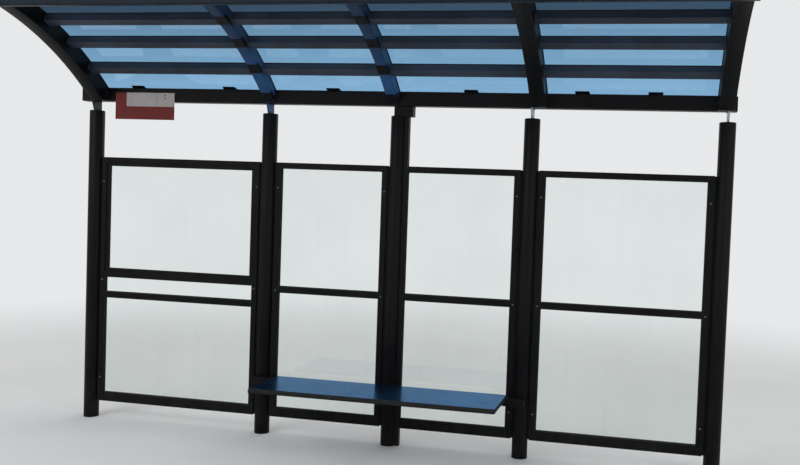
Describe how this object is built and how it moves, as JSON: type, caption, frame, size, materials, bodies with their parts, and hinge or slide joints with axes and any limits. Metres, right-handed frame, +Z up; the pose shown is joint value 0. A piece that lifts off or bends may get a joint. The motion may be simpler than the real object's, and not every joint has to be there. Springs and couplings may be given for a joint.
{
  "type": "bus shelter",
  "caption": "Open-fronted bus shelter: dark steel posts, a framed glass rear wall, a blue bench and a curved glazed roof that reaches forward from a rear beam",
  "frame": {"origin": "middle of the underside of the centre post, on the ground", "axes": "+X along the shelter to the right seen from the street, +Y to the rear, +Z up; the open front faces -Y"},
  "size_m": [4.45, 1.2404, 2.8562],
  "materials": {
    "steel": "satin near-black paint",
    "purlin_steel": "satin slate paint",
    "neck_steel": "satin dark grey paint",
    "clamp_steel": "satin near-black paint",
    "roof_glass": "blue-grey tint, smooth",
    "wall_glass": "clear, smooth",
    "seat_paint": "glossy blue paint",
    "plate_paint": "satin pale grey and dark red paint",
    "seal_rubber": "matt black rubber and sealant, for the gaskets of the looks",
    "bolt_steel": "dull plated steel, for the screws and bolts of the looks"
  },
  "bodies": {
    "root": {"post_1": "steel", "post_2": "steel", "post_3": "steel", "post_4": "steel", "post_5": "steel", "neck_plate_1": "neck_steel", "neck_plate_2": "neck_steel", "neck_block": "steel", "neck_plate_4": "neck_steel", "neck_plate_5": "neck_steel", "rear_beam": "steel", "rib_1": "steel", "rib_2": "steel", "rib_3": "steel", "rib_4": "steel", "rib_5": "steel", "purlin_1": "purlin_steel", "purlin_2": "purlin_steel", "purlin_3": "purlin_steel", "purlin_4": "purlin_steel", "front_edge": "steel", "roof_glass_1": "roof_glass", "roof_glass_2": "roof_glass", "roof_glass_3": "roof_glass", "roof_glass_4": "roof_glass", "roof_clamps": "clamp_steel", "wall_frame_1": "steel", "wall_frame_2": "steel", "wall_frame_3": "steel", "wall_frame_4": "steel", "wall_liner": "steel", "wall_glass_1": "wall_glass", "wall_glass_2": "wall_glass", "wall_glass_3": "wall_glass", "wall_glass_4": "wall_glass", "bench_seat": "seat_paint", "bench_rails": "steel", "bench_carrier": "steel", "bench_arm_1": "steel", "bench_arm_2": "steel", "bench_arm_3": "steel", "stop_plate": "plate_paint", "stop_plate_spacers": "steel"}
  },
  "joints": []
}
